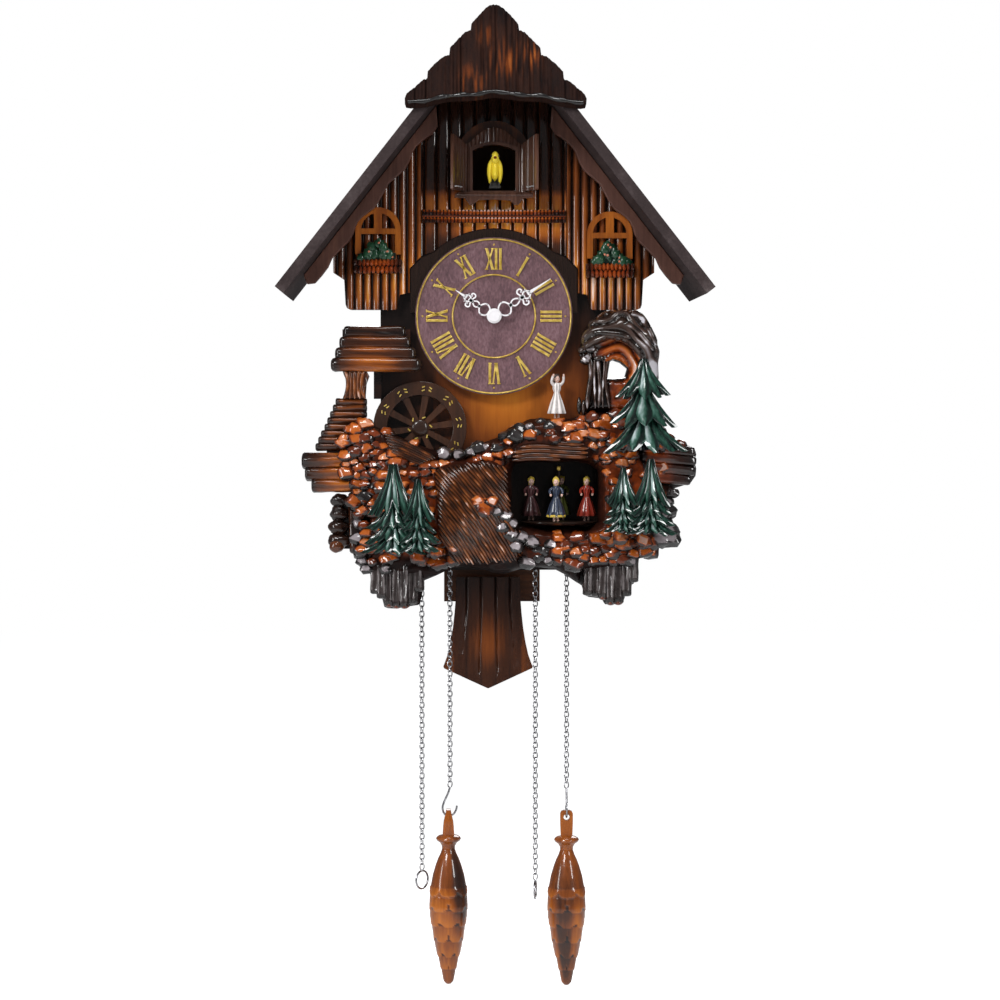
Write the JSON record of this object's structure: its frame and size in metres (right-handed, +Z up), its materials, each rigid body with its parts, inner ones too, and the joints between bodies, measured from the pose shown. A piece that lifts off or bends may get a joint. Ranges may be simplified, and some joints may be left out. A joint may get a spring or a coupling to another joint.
{
  "type": "cuckoo clock",
  "caption": "Chalet wall clock with a cuckoo door, roman dial, carved mill landscape, turning dancers, a swinging pendulum, hanging chains and cone-shaped weights.",
  "frame": {"origin": "on the wall face of the back panel, on the axis of the hands", "axes": "+Y into the wall, +Z up, +X to the right seen from the front; the dial faces -Y"},
  "size_m": [0.3286, 0.161, 0.757],
  "materials": {
    "case_wood": "dark stained, satin lacquer",
    "roof_wood": "grey-brown stain, satin lacquer",
    "barge_wood": "red-brown stain, satin lacquer",
    "amber_wood": "amber lacquer burnt dark at the edges, glossy",
    "shingle_wood": "fluted, burnt dark with rust-orange wear, glossy",
    "relief_resin": "moulded relief, red-orange lacquer with black recesses, high gloss",
    "log_resin": "moulded logs, dark brown lacquer, high gloss",
    "fir_paint": "dark green paint, glossy, pale highlights",
    "dial_face": "mauve-brown with a fine vertical grain",
    "gold_metal": "polished gold",
    "hand_white": "white, satin",
    "bird_yellow": "yellow, glossy",
    "figure_paint": "painted figures",
    "black_plastic": "moulded black",
    "grey_plastic": "moulded grey",
    "steel": "bright nickel-plated wire",
    "rod_brass": "bare brass"
  },
  "bodies": {
    "case": {"back_panel": "case_wood", "case_side_left": "case_wood", "case_side_right": "case_wood", "case_floor": "case_wood", "wall_spacer": "case_wood", "front_board": "amber_wood", "roof_board_left": "roof_wood", "roof_board_right": "roof_wood", "roof_cap": "shingle_wood", "bargeboard_left": "barge_wood", "bargeboard_right": "barge_wood", "gable_panel_centre": "amber_wood", "gable_panel_left": "amber_wood", "gable_panel_right": "amber_wood", "door_frame": "case_wood", "door_hood": "amber_wood", "balcony_rail": "relief_resin", "window_frame_left": "amber_wood", "window_frame_right": "amber_wood", "flower_box_left": "relief_resin", "flower_box_right": "relief_resin", "bush_left": "fir_paint", "bush_right": "fir_paint", "dial_surround": "case_wood", "dial": "dial_face", "dial_ring_outer": "gold_metal", "dial_ring_inner": "gold_metal", "movement": "black_plastic", "music_module": "black_plastic", "landscape_relief": "relief_resin", "mill_hut": "log_resin", "log_stack": "log_resin", "fir_pair_left": "fir_paint", "fir_pair_right": "fir_paint", "fir_tall": "fir_paint", "hollow_tree": "log_resin", "figurine": "figure_paint", "chain_bar": "steel"},
    "service_hatch": {"service_hatch": "case_wood"},
    "minute_hand": {"minute_hand": "hand_white", "hand_nut": "hand_white"},
    "hour_hand": {"hour_hand": "hand_white"},
    "setting_knob": {"setting_knob": "grey_plastic"},
    "cuckoo": {"cuckoo_bird": "bird_yellow"},
    "door_left": {"door_left": "case_wood"},
    "door_right": {"door_right": "case_wood"},
    "pendulum": {"pendulum_rod": "rod_brass", "pendulum_bob": "relief_resin"},
    "water_wheel": {"water_wheel": "log_resin"},
    "carousel": {"dancer_carousel": "figure_paint"},
    "free_chain_left": {"chain_free_left": "steel", "pull_ring_left": "steel"},
    "free_chain_right": {"chain_free_right": "steel", "pull_ring_right": "steel"},
    "weight_chain_left": {"chain_weight_left": "steel", "hook_left": "steel", "weight_left": "relief_resin"},
    "weight_chain_right": {"chain_weight_right": "steel", "hook_right": "steel", "weight_right": "relief_resin"}
  },
  "joints": [
    {"name": "minute_hand_turn", "type": "hinge", "parent": "case", "child": "minute_hand", "pos_m": [0, -0.0976, 0], "axis": [0, 1, 0], "continuous": true},
    {"name": "hour_hand_turn", "type": "hinge", "parent": "case", "child": "hour_hand", "pos_m": [0, -0.0954, 0], "axis": [0, 1, 0], "continuous": true},
    {"name": "setting_knob_turn", "type": "hinge", "parent": "case", "child": "setting_knob", "pos_m": [0, -0.048, 0], "axis": [0, 1, 0], "continuous": true},
    {"name": "bird_slide", "type": "slide", "parent": "case", "child": "cuckoo", "axis": [0, 1, 0], "range_m": [0, 0.03]},
    {"name": "door_left_swing", "type": "hinge", "parent": "case", "child": "door_left", "pos_m": [-0.0224, -0.0976, 0.115], "axis": [0, 0, 1], "range_deg": [0, 118]},
    {"name": "door_right_swing", "type": "hinge", "parent": "case", "child": "door_right", "pos_m": [0.0224, -0.0976, 0.115], "axis": [0, 0, -1], "range_deg": [0, 118]},
    {"name": "pendulum_swing", "type": "hinge", "parent": "case", "child": "pendulum", "pos_m": [-0.0035, -0.0345, -0.024], "axis": [0, 1, 0], "range_deg": [-5, 5]},
    {"name": "water_wheel_turn", "type": "hinge", "parent": "case", "child": "water_wheel", "pos_m": [-0.0567, -0.0865, -0.0855], "axis": [0, 1, 0], "continuous": true},
    {"name": "carousel_turn", "type": "hinge", "parent": "case", "child": "carousel", "pos_m": [0.05, -0.086, -0.16], "axis": [0, 0, 1], "continuous": true},
    {"name": "free_chain_left_swing", "type": "hinge", "parent": "case", "child": "free_chain_left", "pos_m": [-0.0555, -0.066, -0.1886], "axis": [1, 0, 0], "range_deg": [-15, 8]},
    {"name": "free_chain_right_swing", "type": "hinge", "parent": "case", "child": "free_chain_right", "pos_m": [0.0327, -0.066, -0.1886], "axis": [1, 0, 0], "range_deg": [-15, 8]},
    {"name": "weight_chain_left_swing", "type": "hinge", "parent": "case", "child": "weight_chain_left", "pos_m": [-0.0337, -0.066, -0.1886], "axis": [1, 0, 0], "range_deg": [-15, 8]},
    {"name": "weight_chain_right_swing", "type": "hinge", "parent": "case", "child": "weight_chain_right", "pos_m": [0.057, -0.066, -0.1886], "axis": [1, 0, 0], "range_deg": [-15, 8]},
    {"name": "service_hatch_open", "type": "hinge", "parent": "case", "child": "service_hatch", "pos_m": [-0.0503, 0, -0.057], "axis": [0, 0, 1], "range_deg": [0, 110]}
  ],
  "couplings": [
    {"joint": "hour_hand_turn", "follows": "minute_hand_turn", "ratio": 0.083333},
    {"joint": "setting_knob_turn", "follows": "minute_hand_turn", "ratio": 1},
    {"joint": "door_left_swing", "follows": "bird_slide", "rad_per_m": 68.6},
    {"joint": "door_right_swing", "follows": "bird_slide", "rad_per_m": 68.6}
  ]
}
